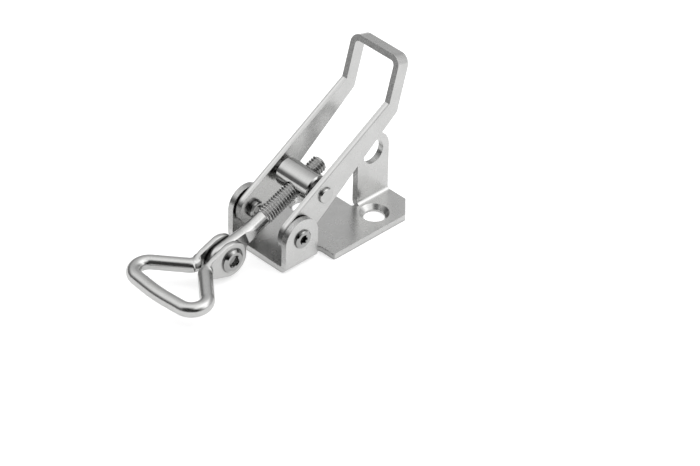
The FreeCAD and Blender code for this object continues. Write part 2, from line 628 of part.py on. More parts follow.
bail_rivet = new_body("bail_rivet")
HEAD_TOP = "(%s + dims.BailHeadHeight)" % BAIL_EAR_OUTSIDE
HEAD_RIM = "(%s + dims.BailHeadRim)" % BAIL_EAR_OUTSIDE
rivet_profile = new_sketch(bail_rivet, "rivet_profile")
add_outline(rivet_profile, [
    ("0", "-%s + dims.BailMouthDepth" % HEAD_TOP, None),
    ("dims.BailRecessMouth", "-%s + dims.BailMouthDepth" % HEAD_TOP, None),
    ("dims.BailRecessMouth", "-" + HEAD_TOP, None),
    ("dims.BailHeadFace", "-" + HEAD_TOP, None),
    ("dims.BailHeadDiameter / 2", "-" + HEAD_RIM, None),
    ("dims.BailHeadDiameter / 2", "-" + BAIL_EAR_OUTSIDE, None),
    ("dims.BailRivetDiameter / 2", "-" + BAIL_EAR_OUTSIDE, None),
    ("dims.BailRivetDiameter / 2", BAIL_EAR_OUTSIDE, None),
    ("dims.BailButtonDiameter / 2", BAIL_EAR_OUTSIDE, None),
    ("dims.BailButtonDiameter / 2", HEAD_RIM, None),
    ("dims.BailHeadFace", HEAD_TOP, None),
    ("0", HEAD_TOP, None),
])
add_turned(bail_rivet, rivet_profile, "Y_Axis")
add_star_recess(bail_rivet, "recess", "XZ_Plane", HEAD_TOP, "dims.BailRecessDepth",
                "dims.BailRecessRoot", "dims.BailRecessLobe", "Y_Axis")

for piece in (bail, bail_rivet):
    piece.Placement = FreeCAD.Placement(FreeCAD.Vector(0, 0, 0), FreeCAD.Rotation(FreeCAD.Vector(0, -1, 0), 30))
    piece.setExpression("Placement.Base.x", EYE_X)
    piece.setExpression("Placement.Base.z", EYE_Z)
    piece.setExpression("Placement.Rotation.Angle", "dims.BailAngle")

# Pivot rivets: turned about Z, outwards from the ear's outer face at z = 0.

ARM_INNER_FACE = "(2 * dims.SheetThickness + dims.ArmGap + dims.HeadGap)"
pivot_rivets = []
for label, turn, sign in (("pivot_rivet_near", 90, "-"), ("pivot_rivet_far", -90, "")):
    rivet = new_body(label)
    profile = new_sketch(rivet, label + "_profile", "XZ_Plane")
    add_outline(profile, [
        ("0", "dims.PivotHeadHeight", None),
        ("dims.PivotHeadFace", "dims.PivotHeadHeight", None),
        ("dims.PivotHeadRadius", "dims.PivotHeadHeight / 3", None),
        ("dims.PivotHeadRadius", "0", None),
        ("dims.PivotRivetDiameter / 2", "0", None),
        ("dims.PivotRivetDiameter / 2", "-" + ARM_INNER_FACE, None),
        ("dims.InnerHeadRadius", "-" + ARM_INNER_FACE, None),
        ("dims.InnerHeadRadius", "-%s - dims.InnerHeadHeight + dims.InnerHeadBevel" % ARM_INNER_FACE, None),
        ("dims.InnerHeadRadius - dims.InnerHeadBevel", "-%s - dims.InnerHeadHeight" % ARM_INNER_FACE, None),
        ("dims.InnerDimpleRadius", "-%s - dims.InnerHeadHeight" % ARM_INNER_FACE, None),
        ("dims.InnerDimpleRadius / 2", "-%s - dims.InnerHeadHeight + dims.InnerDimpleDepth" % ARM_INNER_FACE,
         None),
        ("0", "-%s - dims.InnerHeadHeight + dims.InnerDimpleDepth" % ARM_INNER_FACE, None),
    ])
    add_turned(rivet, profile, "Z_Axis")
    add_star_recess(rivet, label + "_recess", "XY_Plane", "dims.PivotHeadHeight", "dims.PivotRecessDepth",
                    "dims.PivotRecessRoot", "dims.PivotRecessLobe", "Z_Axis")
    rivet.Placement = FreeCAD.Placement(FreeCAD.Vector(0, 0, 0), FreeCAD.Rotation(FreeCAD.Vector(1, 0, 0), turn))
    rivet.setExpression("Placement.Base.y", sign + EAR_OUTSIDE)
    rivet.setExpression("Placement.Base.z", "dims.PivotHeight")
    pivot_rivets.append(rivet)

# Check every object and write one file for each piece

doc.recompute()
for item in doc.Objects:
    bad = [state for state in item.State if state in ("Invalid", "Error")]
    if bad:
        raise RuntimeError("%s is %s" % (item.Label, bad[0]))

os.makedirs("parts", exist_ok=True)
for piece in [bracket, handle, barrel, rod, bail, bail_rivet] + pivot_rivets:
    shape = piece.Shape
    if shape.isNull() or not shape.isValid() or len(shape.Solids) != 1:
        raise RuntimeError(piece.Label + " is not one valid solid")
    shape.exportStep("parts/" + piece.Label + ".step")
    print("%-18s %8.1f mm3" % (piece.Label, shape.Volume))
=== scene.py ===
# %% [markdown]
# # An adjustable toggle latch in bare stainless steel
#
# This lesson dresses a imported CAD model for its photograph. The bracket, the handle and the barrel
# have the right form already, so they keep their CAD meshes and get a finish. The screw thread, the
# flattened ends of the wire and the lobed recesses of the rivets want a finer skin than solids give,
# so the rod, the bail and the three rivets are worked out here as surfaces.

import json
import math

import bpy
import numpy as np
from mathutils import Matrix, Vector


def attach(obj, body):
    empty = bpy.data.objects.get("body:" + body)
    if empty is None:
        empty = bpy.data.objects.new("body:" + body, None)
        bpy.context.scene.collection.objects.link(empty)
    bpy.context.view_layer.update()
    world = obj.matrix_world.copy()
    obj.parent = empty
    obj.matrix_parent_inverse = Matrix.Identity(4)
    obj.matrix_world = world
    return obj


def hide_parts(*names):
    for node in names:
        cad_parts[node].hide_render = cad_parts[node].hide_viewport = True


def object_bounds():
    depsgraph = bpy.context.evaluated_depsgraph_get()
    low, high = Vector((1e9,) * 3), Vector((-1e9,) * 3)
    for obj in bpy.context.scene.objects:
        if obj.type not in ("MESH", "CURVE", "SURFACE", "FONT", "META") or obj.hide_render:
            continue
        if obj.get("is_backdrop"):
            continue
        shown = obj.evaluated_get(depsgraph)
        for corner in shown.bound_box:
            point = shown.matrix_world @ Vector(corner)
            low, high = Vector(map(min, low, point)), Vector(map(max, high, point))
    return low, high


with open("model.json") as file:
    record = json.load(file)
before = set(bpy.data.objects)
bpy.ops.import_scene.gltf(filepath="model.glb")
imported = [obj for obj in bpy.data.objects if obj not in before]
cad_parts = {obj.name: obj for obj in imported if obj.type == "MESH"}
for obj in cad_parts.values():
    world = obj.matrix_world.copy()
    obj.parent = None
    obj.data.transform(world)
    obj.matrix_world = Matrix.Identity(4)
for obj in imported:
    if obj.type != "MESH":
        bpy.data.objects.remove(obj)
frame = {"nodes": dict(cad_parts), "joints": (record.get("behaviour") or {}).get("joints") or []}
cad_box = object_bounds()
MM = 0.001
joints = {joint["name"]: joint for joint in frame["joints"]}
print("nodes", sorted(frame["nodes"]))

# %% [markdown]
# ## The camera
#
# A long lens stands high over the bail's side of the latch. Its place was found by fitting the
# bracket, the handle and the rod to their outlines in the photograph at the same time. The three unit
# vectors of the view are worked out from an azimuth, an elevation and a small roll, in degrees. The
# lens and the sensor are in millimetres, as Blender wants them, and all other lengths are in metres.

# %% The camera
AZIMUTH, ELEVATION, ROLL = -44.67, 36.64, 1.37
LENS, SENSOR = 202.94, 36
DISTANCE, AIM_RIGHT, AIM_UP = 1290.2 * MM, 25.26 * MM, 4.82 * MM
NEAREST, FARTHEST = 0.05, 20

around, above, tilt = (math.radians(angle) for angle in (AZIMUTH, ELEVATION, ROLL))
back = Vector((math.sin(around) * math.cos(above), -math.cos(around) * math.cos(above), math.sin(above)))
level = Vector((math.cos(around), math.sin(around), 0))
right = level * math.cos(tilt) + back.cross(level) * math.sin(tilt)
upward = back.cross(right)

camera_data = bpy.data.cameras.new("camera")
camera_data.sensor_width, camera_data.lens = SENSOR, LENS
camera_data.clip_start, camera_data.clip_end = NEAREST, FARTHEST
camera = bpy.data.objects.new("camera", camera_data)
bpy.context.collection.objects.link(camera)
stand = Matrix.Translation(right * AIM_RIGHT + upward * AIM_UP + back * DISTANCE)
camera.matrix_world = stand @ Matrix((right, upward, back)).transposed().to_4x4()
bpy.context.scene.camera = camera
bpy.context.scene.view_settings.view_transform = "Standard"
print("the camera looks along", [round(c, 3) for c in -back])

# %% [markdown]
# ## Building node trees
#
# Every finish is a small net of nodes. A short helper makes a node, sets its sockets and links what
# comes in, so that a finish reads like a recipe. Numbers go straight onto the sockets. The other
# helpers are the few sums that the light and the finishes need again and again.

# %% A helper for nodes
def node(tree, kind, inputs=None, **settings):
    """Make one node: settings are its own properties, inputs its sockets by name or number."""
    made = tree.nodes.new("ShaderNode" + kind)
    for name, value in settings.items():
        setattr(made, name, value)
    for socket, value in (inputs or {}).items():
        if isinstance(value, bpy.types.NodeSocket):
            tree.links.new(value, made.inputs[socket])
        else:
            made.inputs[socket].default_value = value
    return made


# %% Sums made of nodes
def math_node(tree, operation, first, second=0.0):
    """One Math node for two numbers or sockets."""
    return node(tree, "Math", {0: first, 1: second}, operation=operation).outputs[0]


def total(tree, values):
    """The sum of several sockets or numbers."""
    result = values[0]
    for value in values[1:]:
        result = math_node(tree, "ADD", result, value)
    return result


def product(tree, first, second):
    """Two sockets or numbers multiplied. Of two masks, it is the part where both are 1."""
    return math_node(tree, "MULTIPLY", first, second)


def dot(tree, vector, direction):
    """The dot product, which is the cosine of the angle between two unit vectors."""
    made = node(tree, "VectorMath", {0: vector, 1: direction}, operation="DOT_PRODUCT")
    return made.outputs["Value"]


def blend_in(tree, share, low, high):
    """low where share is 0, high where it is 1."""
    return node(tree, "Mix", {0: share, 2: low, 3: high}).outputs[0]


def between(tree, value, low, high, curve="LINEAR"):
    """0 at low and below, 1 at high and above. It falls instead where low is the larger."""
    limits = {"Value": value, "From Min": low, "From Max": high}
    return node(tree, "MapRange", limits, interpolation_type=curve).outputs[0]


# %% [markdown]
# ## The studio
#
# Polished metal shows the room more than its own colour, so the room is designed first. It is a tent
# with a bright dome. As the camera sees it, the dome is brighter on the left and overhead and a little
# dimmer behind the latch, and a soft box stands on the right. Between the dome's rim and the table is a
# dark gap, and the camera's own dark shape stands in front. They give the barrel and the wire their
# dark streak beside the bright one. All of it is one formula of the direction in the room, so nothing
# in it moves when the camera does.

# %% Soft patches of light
def aim(around, above):
    """The unit vector at an angle round the object (0 is +X, 90 is +Y) and an angle above the table."""
    around, above = math.radians(around), math.radians(above)
    return (math.cos(around) * math.cos(above), math.sin(around) * math.cos(above), math.sin(above))


def patch(tree, direction, centre, sharpness, strength):
    """A soft round patch: the cosine of the angle to its centre, raised to a power."""
    facing = math_node(tree, "MAXIMUM", dot(tree, direction, aim(*centre)), 0.0)
    return product(tree, math_node(tree, "POWER", facing, sharpness), strength)


print("the soft box lies towards", [round(c, 2) for c in aim(-45, 37)])

# %% The tent's patches
# Each patch has its centre in degrees round the object and above the table, its sharpness and its
# strength, where white is 1.
DOME_PATCHES = [
    ((135, 48), 6, 0.60),     # on the left
    ((0, 90), 8, 0.60),       # overhead
    ((45, 30), 5, -0.14),     # the dimmer wall behind the latch
    ((-45, 37), 6, 2.6),      # the soft box on the right
    ((259, 57), 260, 2.0),    # a small lamp high beside the camera
]
GAP_PATCHES = [
    ((36, 5), 6, 0.6),        # light that comes in under the wall behind the latch
    ((-45, 10), 2.5, 0.9),    # light that comes in on the right
    ((-45, 37), 20, 1.0),     # the lower part of the soft box
    ((254, 15), 14, -0.44),   # the dark place low on the camera's right
    ((301, 24), 50, 1.9),     # a small lamp low at the front right
]

# %% The tent of light
# A rim is a pair of limits for the dot product with an axis, and the horizon is one for the height. What
# lies inside begins at the first limit and is full at the second.
DOME, GAP, CAMERA_SHADE, BELOW_TABLE = 1.18, 0.22, 0.06, 1.0
DOME_AXIS, DOME_RIM = (0, 0.14, 1), (0.38, 0.74)
CAMERA_SIDE, CAMERA_RIM = (208, 35), (0.83, 0.94)
HORIZON = (-0.01, 0.02)

world = bpy.data.worlds.new("tent")
bpy.context.scene.world = world
world.use_nodes = True
tree = world.node_tree
tree.nodes.clear()
direction = node(tree, "TexCoord").outputs["Generated"]
height = node(tree, "SeparateXYZ", {0: direction}).outputs["Z"]

dome = total(tree, [DOME] + [patch(tree, direction, *spot) for spot in DOME_PATCHES])
gap = total(tree, [GAP] + [patch(tree, direction, *spot) for spot in GAP_PATCHES])
in_dome = between(tree, dot(tree, direction, DOME_AXIS), *DOME_RIM, curve="SMOOTHSTEP")
at_camera = between(tree, dot(tree, direction, aim(*CAMERA_SIDE)), *CAMERA_RIM, curve="SMOOTHSTEP")
above_table = between(tree, height, *HORIZON, curve="SMOOTHSTEP")
light = blend_in(tree, in_dome, gap, dome)
light = blend_in(tree, at_camera, light, CAMERA_SHADE)
light = blend_in(tree, above_table, BELOW_TABLE, light)
tent = node(tree, "Background", {"Strength": light})
node(tree, "OutputWorld", {0: tent.outputs[0]})
print("the dome is", round(DOME / GAP, 1), "times as bright as the gap under it")

# %% [markdown]
# ## The table
#
# A white sheet of paper lies a hair's breadth under the latch, so that their faces don't flicker into
# each other. It takes the soft shadow. The camera and mirror-like reflections see it lifted to paper
# white, so the picture has the plain background of a catalogue page, and so have the reflections.

# %% The table
TABLE_SIZE, TABLE_DROP = 6, 0.02 * MM
PAPER, LIFT = 0.72, 0.56

bpy.ops.mesh.primitive_plane_add(size=TABLE_SIZE, location=(0, 0, -TABLE_DROP))
table = bpy.context.object
table.name = "table"
table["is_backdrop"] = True
cover = bpy.data.materials.new("table_paper")
cover.use_nodes = True
tree = cover.node_tree
tree.nodes.clear()
ray = node(tree, "LightPath").outputs
looks = math_node(tree, "MAXIMUM", ray["Is Camera Ray"], ray["Is Glossy Ray"])
looks = math_node(tree, "MAXIMUM", looks, ray["Is Transmission Ray"])
lit = node(tree, "BsdfDiffuse", {"Color": (PAPER, PAPER, PAPER, 1)})
lift = node(tree, "Emission", {"Strength": product(tree, looks, LIFT)})
both = node(tree, "AddShader", {0: lit.outputs[0], 1: lift.outputs[0]})
node(tree, "OutputMaterial", {0: both.outputs[0]})
table.data.materials.append(cover)
print("the table's top lies", round(TABLE_DROP / MM, 3), "mm under the latch")

# %% [markdown]
# ## Steel finishes
#
# All pieces are bare stainless steel and were tumbled in a drum of stones, so even the sheet faces
# have a fine grain instead of a mirror. The recipe is one function: a base tone, a roughness that
# wanders a little, a grain in the bump, and the rounded rim that tumbling gives to every edge, with a
# painted highlight that brightens its colour. The bevel node rounds the shading at edges without a
# change of the mesh. Painted shade darkens the colour in corners, creases and recesses, which the
# ambient occlusion node finds.

# %% The steel recipe
# Drift, fleck and the painted edge highlight are brightness. The highlight shows where the cosine
# between the rounded and the true normal falls from the first of two limits to the second.
BROAD_SIZE = 5 * MM
DRIFT, FLECK, EDGE_HIGHLIGHT = 0.08, 0.10, 0.12
EDGE_HIGHLIGHT_LIMITS = (0.99, 0.88)
GRAIN_HEIGHT = 0.004 * MM
BLUE_SHARE = 0.99
DETAIL, SAMPLES = 2.0, 12


def noise(tree, place, size):
    """Cloudy noise from 0 to 1, whose patches are about as large as size."""
    return node(tree, "TexNoise", {"Vector": place, "Scale": 1 / size, "Detail": DETAIL}).outputs[0]


def swing(tree, value, amount):
    """Noise moved to lie round 0 instead of 0.5, times an amount."""
    return product(tree, math_node(tree, "SUBTRACT", value, 0.5), amount)


def steel(name, tone=0.495, roughness=0.27, grain=0.30, grain_size=0.40, rim=0.16, painted_shade_power=0.3,
          depth=1.0, stretch=(1, 1, 1), cut=None):
    """One steel finish: shade = ((tone + drift + fleck) * cut + edge highlight) * reach.

    Drift is broad noise and fleck is fine noise. The edge highlight is painted: a brighter colour where
    the rounded and the true normal differ. Reach is painted shade: the ambient occlusion over depth,
    raised to the power painted_shade_power, darkens corners and recesses. Lengths are in millimetres;
    stretch multiplies the grain's scale on each axis. cut is a function that finds the cut edges of a
    sheet: it gives a brightness there and 1 elsewhere.
    """
    made = bpy.data.materials.new(name)
    made.use_nodes = True
    tree = made.node_tree
    tree.nodes.clear()
    place = node(tree, "TexCoord").outputs["Object"]
    lined_up = node(tree, "Mapping", {"Vector": place, "Scale": stretch}).outputs[0]
    fine = noise(tree, lined_up, grain_size * MM)
    broad = noise(tree, place, BROAD_SIZE)

    rounded = node(tree, "Bevel", {"Radius": rim * MM}, samples=SAMPLES).outputs[0]
    true_normal = node(tree, "NewGeometry").outputs["Normal"]
    # Painted highlight: the colour grows brighter along every edge, where the rounded normal leaves the
    # true one.
    edge_highlight = between(tree, dot(tree, rounded, true_normal), *EDGE_HIGHLIGHT_LIMITS)
    # Painted shade: the ambient occlusion darkens the colour in corners, creases and recesses.
    open_sky = node(tree, "AmbientOcclusion", {"Distance": depth * MM}, samples=SAMPLES).outputs["AO"]
    reach = math_node(tree, "POWER", open_sky, painted_shade_power)

    drift = swing(tree, broad, DRIFT)
    shade = total(tree, [drift, swing(tree, fine, FLECK), tone])
    if cut:
        shade = product(tree, shade, cut(tree, place, fine))
    shade = math_node(tree, "ADD", shade, product(tree, edge_highlight, EDGE_HIGHLIGHT))
    shade = product(tree, shade, reach)
    colour = node(tree, "CombineColor", {0: shade, 1: shade, 2: product(tree, shade, BLUE_SHARE)})
    bump = node(tree, "Bump", {
        "Strength": grain, "Distance": GRAIN_HEIGHT, "Height": fine, "Normal": rounded})
    surface = node(tree, "BsdfPrincipled", {
        "Base Color": colour.outputs[0], "Metallic": 1.0,
        "Roughness": math_node(tree, "ADD", drift, roughness), "Normal": bump.outputs[0]})
    node(tree, "OutputMaterial", {0: surface.outputs[0]})
    return made


# %% [markdown]
# ## Cut edges of the sheet
#
# A punch shears a sheet's edge in three bands: a rolled-in shoulder, a bright burnished band and a dull
# torn one. Tumbling softens them, but they still show along the handle's arms and round the bracket.
# The faces that are cut edges are found from the surface's direction in the object's own coordinates:
# the arms, the ears and the padlock tab stand upright along X, so a cut edge there is any face that
# doesn't look along Y. On the flat plate it is any face that doesn't look up or down. Each mask is a
# range with soft limits, kept as a pair: the value where it is still 0, and the value where it is 1.

# %% Where the sheet stands
SHEET, CHANNEL, ARM_GAP = 2.2 * MM, 27.8 * MM, 0.6 * MM
EAR_OUTSIDE = CHANNEL / 2
ARM_INNER = EAR_OUTSIDE - SHEET - ARM_GAP - SHEET
ARM_ANGLE, GRIP_ANGLE = 37.9, 74.5


def ramp(tree, value, stops):
    """A grey ramp through (place, brightness) stops."""
    made = node(tree, "ValToRGB", {0: value})
    elements = made.color_ramp.elements
    while len(elements) < len(stops):
        elements.new(0.5)
    for element, (spot, bright) in zip(elements, stops):
        element.position, element.color = spot, (bright, bright, bright, 1)
    return made.outputs[0]


def upright(angle):
    """The direction square to an arm that rises by an angle, in the XZ plane."""
    return (-math.sin(math.radians(angle)), 0, math.cos(math.radians(angle)))


def sizes(tree, vector):
    """The absolute X, Y and Z of a vector."""
    positive = node(tree, "VectorMath", {0: vector}, operation="ABSOLUTE").outputs[0]
    return node(tree, "SeparateXYZ", {0: positive}).outputs


print("the arms stand", round(ARM_INNER / MM, 2), "mm from the middle, the ears end at", EAR_OUTSIDE / MM)

# %% The handle's cut edges
ARM_BANDS = [(0.0, 0.86), (0.40, 0.88), (0.48, 1.0), (0.74, 1.0), (0.82, 0.70), (1.0, 0.66)]
ARM_SHINE = 1.12
GRIP_LEAD, EDGE_FACING = (0.02, 0.06), (0.84, 0.92)
TORN, TORN_GRIP, TORN_WALL = 0.5, 0.14, 0.55


def handle_cut(tree, place, fine):
    """The arms' edges have the three bands across their thickness; the grip's edges are torn all over.

    A face belongs to the grip where it looks along the grip's upright more than along the arm's. The
    place in the bands is the distance from the arm's inner face over the sheet's thickness.
    """
    facing = node(tree, "TexCoord").outputs["Normal"]
    on_arm = math_node(tree, "ABSOLUTE", dot(tree, facing, upright(ARM_ANGLE)))
    on_grip = math_node(tree, "ABSOLUTE", dot(tree, facing, upright(GRIP_ANGLE)))
    from_inside = math_node(tree, "SUBTRACT", sizes(tree, place)["Y"], ARM_INNER)
    bands = ramp(tree, math_node(tree, "DIVIDE", from_inside, SHEET), ARM_BANDS)
    bands = product(tree, bands, ARM_SHINE)
    torn = math_node(tree, "ADD", product(tree, fine, TORN), TORN_GRIP)
    dull = between(tree, math_node(tree, "SUBTRACT", on_grip, on_arm), *GRIP_LEAD)
    edge = between(tree, math_node(tree, "MAXIMUM", on_arm, on_grip), *EDGE_FACING)
    return blend_in(tree, edge, 1.0, blend_in(tree, dull, bands, torn))


burnished = [spot for spot, bright in ARM_BANDS if bright == 1.0]
print("an arm's edge is burnished between", burnished, "of its thickness")

# %% The bracket's cut edges
PLATE_BANDS = [(0.0, 0.7), (0.12, 1.0), (0.84, 1.0), (0.94, 0.8)]
SIDEWAYS = (0.40, 0.30)
ABOVE_BENDS, IN_PLATE = (4.0 * MM, 4.4 * MM), (2.30 * MM, 2.25 * MM)
SHOULDER_STARTS, SHOULDER_ENDS, SHOULDER_FACING = (8 * MM, 9 * MM), (16 * MM, 15 * MM), (0.5, 0.7)
MARK_GRAIN, MARK_HEIGHT = (0.47, 0.55), (1.3 * MM, 1.8 * MM)
SHOULDER_TONE, MARK_TONE = 0.68, 0.22


def bracket_cut(tree, place, fine):
    """Upright walls above the bends, and the flat plate below them, each with its own dull cut edge.

    Each mask is a product of ranges of the place and of the surface's direction. The plate's short
    shoulders beside the channel are darker, with marks from the punch along their upper half.
    """
    facing = sizes(tree, node(tree, "TexCoord").outputs["Normal"])
    here = sizes(tree, place)
    wall = product(tree, between(tree, facing["Y"], *SIDEWAYS), between(tree, here["Z"], *ABOVE_BENDS))
    plate = product(tree, between(tree, facing["Z"], *SIDEWAYS), between(tree, here["Z"], *IN_PLATE))
    torn = math_node(tree, "ADD", product(tree, fine, TORN), TORN_WALL)
    bands = ramp(tree, math_node(tree, "DIVIDE", here["Z"], SHEET), PLATE_BANDS)
    past_start = between(tree, here["X"], *SHOULDER_STARTS)
    before_end = between(tree, here["X"], *SHOULDER_ENDS)
    shoulder = product(tree, past_start, before_end)
    shoulder = product(tree, shoulder, between(tree, facing["X"], *SHOULDER_FACING))
    marks = product(tree, between(tree, fine, *MARK_GRAIN), between(tree, here["Z"], *MARK_HEIGHT))
    bands = blend_in(tree, shoulder, bands, blend_in(tree, marks, SHOULDER_TONE, MARK_TONE))
    return blend_in(tree, plate, blend_in(tree, wall, 1.0, torn), bands)


print("the plate's edge ends at", IN_PLATE[0] / MM, "mm, the walls' edges start at", ABOVE_BENDS[0] / MM)

# %% [markdown]
# ## The CAD pieces in their finishes
#
# The bracket and the handle are of the same sheet and differ only in where they were cut. The barrel
# was turned on a lathe and is smoother. Its grain is stretched into rings round its axis, which lies
# along Y: a scale below 1 on X and Z makes the grain long, and a scale above 1 on Y makes it narrow.

# %% Finishes of the CAD nodes
TURNED = (0.12, 1.6, 0.12)
FINISHES = {
    "base_bracket": steel("bracket_steel", cut=bracket_cut),
    "handle": steel("handle_steel", cut=handle_cut),
    "barrel": steel("barrel_steel", tone=0.46, roughness=0.16, grain=0.12, painted_shade_power=0.5, stretch=TURNED),
}
for name, finish in FINISHES.items():
    mesh = frame["nodes"][name].data
    mesh.materials.clear()
    mesh.materials.append(finish)
print("finished", ", ".join(FINISHES))

# %% [markdown]
# ## Skins over rings
#
# The new pieces are all a closed profile carried along a path: ring after ring of points. One helper
# turns the array of rings into a closed mesh, with a fan over either end, and turns it right side out
# if its volume comes out negative. The other helpers are sums that more than one piece needs.

# %% The skin helper
def skin(name, rings):
    """Rings is an array [ring, point, xyz]. Neighbouring rings are joined by quads, the ends by fans.

    The volume's sign is that of the sum, over the quads' triangles, of the first corner times the cross
    product of the other two.
    """
    count, around, _ = rings.shape
    middle = rings[[0, -1]].mean(axis=1)
    points = np.vstack([rings.reshape(-1, 3), middle])
    i, j = np.meshgrid(np.arange(count - 1), np.arange(around), indexing="ij")
    k = (j + 1) % around
    quads = np.stack([i * around + j, i * around + k, (i + 1) * around + k, (i + 1) * around + j], -1)
    quads = quads.reshape(-1, 4)
    j = np.arange(around)
    k = (j + 1) % around
    last = (count - 1) * around
    low = np.stack([np.full(around, count * around), k, j], -1)
    high = np.stack([np.full(around, count * around + 1), j + last, k + last], -1)
    fans = np.vstack([low, high])

    corners = points[quads]
    volume = np.einsum("ij,ij->i", corners[:, 0], np.cross(corners[:, 1], corners[:, 2])).sum()
    volume += np.einsum("ij,ij->i", corners[:, 0], np.cross(corners[:, 2], corners[:, 3])).sum()
    if volume < 0:
        quads, fans = quads[:, ::-1], fans[:, ::-1]

    mesh = bpy.data.meshes.new(name)
    mesh.from_pydata(points.tolist(), [], quads.tolist() + fans.tolist())
    mesh.polygons.foreach_set("use_smooth", np.ones(len(mesh.polygons), bool))
    mesh.update()
    made = bpy.data.objects.new(name, mesh)
    bpy.context.collection.objects.link(made)
    print(name, len(quads) + len(fans), "faces")
    return made


# %% Helpers for rings
TIP_POWER = 14


def full_turn(count):
    """Angles round a section, equally spaced, as one row."""
    return np.linspace(0, 2 * math.pi, count, endpoint=False)[None, :]


def smooth_step(value, low, high):
    """0 below low, 1 above high, and an S-shaped rise between."""
    share = np.clip((value - low) / (high - low), 0, 1)
    return share * share * (3 - 2 * share)


def disc_half(radius, offset):
    """Half a disc's height at an offset from its centre: the root of radius squared less offset squared."""
    return np.sqrt(np.maximum(radius ** 2 - offset ** 2, 0))


def rounded_tip(share):
    """How thick a flat end still is: the 14th root of 1 less the share's 14th power, so 0 at its tip."""
    return (1 - np.clip(share, 0, 1) ** TIP_POWER) ** (1 / TIP_POWER)


def placed(points, origin, angle):
    """Turn points of a local XZ frame about -Y by an angle, so that +X rises, and move them to origin."""
    c, s = math.cos(angle), math.sin(angle)
    x, y, z = points[..., 0], points[..., 1], points[..., 2]
    return np.stack([c * x - s * z + origin[0], y + origin[1], s * x + c * z + origin[2]], -1)


print("at half its radius a disc is still", round(float(disc_half(1, 0.5)), 3), "of its full height")

# %% [markdown]
# ## The threaded rod
#
# The real rod is a drawn bar. One end has a rolled M6 thread, which rises above the bar and cuts below
# it, and the other end was forged flat into an eye. As a surface it has two parameters: the distance
# along the bar and the angle round it. The radius rises and falls with their difference, which is what
# makes the ridge climb like a screw.

# %% The threaded rod's measures
barrel_centre = np.array(joints["barrel_pivot"]["pos_m"])
rod_way = np.array(joints["rod_screw"]["axis"])
rod_angle = math.atan2(-rod_way[2], -rod_way[0])

# The thread: its pitch, how its flanks are cut out of the triangle wave, and its radii.
PITCH, FLANK_SLOPE, FLANK_DROP = 1.0 * MM, 1.2, 0.08
CREST, SHANK, ROOT, TAIL_RADIUS = 3.0 * MM, 2.65 * MM, 2.39 * MM, 2.05 * MM
# Distances along the bar, from the barrel's axis towards the eye.
TAIL, THREAD_END = -9.3 * MM, 18.2 * MM
FADE_FROM, FADE_TO = THREAD_END - 0.9 * MM, THREAD_END + 0.3 * MM
FLAT_FROM, FLAT_TO, EYE_CENTRE = 23.4 * MM, 27.3 * MM, 38.2 * MM
EYE_JOIN, SPREAD_TO = EYE_CENTRE - 1.4 * MM, FLAT_TO + 3 * MM
# The forged end: its half thickness, its half heights, the eye, and how far the forging spreads it. Where
# the bar isn't forged its half thickness is set to a metre, which cuts nothing.
FLAT_HALF, NECK_HALF, EYE_JOIN_HALF, EYE_RADIUS = 1.6 * MM, 3.1 * MM, 5.32 * MM, 5.5 * MM
SPREAD, UNCUT = 0.7 * MM, 1.0
# The rings: how many points they have, and how close they lie. The last one stops just short of the
# eye's edge, where it would be a mere point.
ROD_ROUND, TIP_RINGS, LAST_RING = 120, 28, 0.9999
THREAD_STEP, BAR_STEP = 0.09 * MM, 0.16 * MM
THREAD_RINGS_END, BAR_RINGS_START = THREAD_END + 0.6 * MM, THREAD_END + 0.7 * MM
print("the rod rises by", round(math.degrees(rod_angle), 1), "degrees from the eye to its tail")

# %% The threaded rod
def rod_rings():
    """Distance s runs from the tail to the eye, angle t runs round the bar.

    Thread: the phase is s over the pitch less t over a turn; its triangle wave, cut flat at crest and
    root, is the height between root and crest. It fades into the bar at its end, and a cone trims the tail.
    Eye: the round section spreads and is cut flat at both sides, while its height follows the outline.
    """
    thread = np.arange(TAIL, THREAD_RINGS_END, THREAD_STEP)
    bar = np.arange(BAR_RINGS_START, EYE_CENTRE, BAR_STEP)
    tip = EYE_CENTRE + EYE_RADIUS * np.sin(np.linspace(0, math.pi / 2, TIP_RINGS)) * LAST_RING
    s = np.concatenate([thread, bar, tip])[:, None]
    t = full_turn(ROD_ROUND)

    phase = (s / PITCH - t / (2 * math.pi)) % 1.0
    wave = 1 - np.abs(2 * phase - 1)
    height = np.clip(wave * FLANK_SLOPE - FLANK_DROP, 0, 1)
    threaded = 1 - smooth_step(s, FADE_FROM, FADE_TO)
    radius = SHANK + threaded * (ROOT + (CREST - ROOT) * height - SHANK)
    radius = np.minimum(radius, TAIL_RADIUS + (s - TAIL))

    outline = np.interp(s, [FLAT_FROM, FLAT_TO, EYE_JOIN], [SHANK, NECK_HALF, EYE_JOIN_HALF])
    eye = disc_half(EYE_RADIUS, s - EYE_CENTRE)
    tall = np.where(s > EYE_JOIN, eye, np.where(s < FLAT_FROM, radius, outline))
    wide = radius + smooth_step(s, FLAT_FROM, SPREAD_TO) * SPREAD
    half = np.interp(s, [FLAT_FROM, FLAT_TO], [SHANK, FLAT_HALF])
    half = np.where(s < FLAT_FROM, UNCUT, half) * rounded_tip((s - EYE_CENTRE) / EYE_RADIUS)
    y = np.clip(wide * np.cos(t), -half, half)
    return np.stack([np.broadcast_to(-s, y.shape), y, tall * np.sin(t)], -1)


rod_steel = steel("rod_steel", tone=0.48, roughness=0.22, grain=0.12, rim=0.04, painted_shade_power=0.35, depth=0.5)
rod = skin("screw_rod", placed(rod_rings(), barrel_centre, rod_angle))
rod.data.materials.append(rod_steel)
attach(rod, "rod")
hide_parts("threaded_rod")

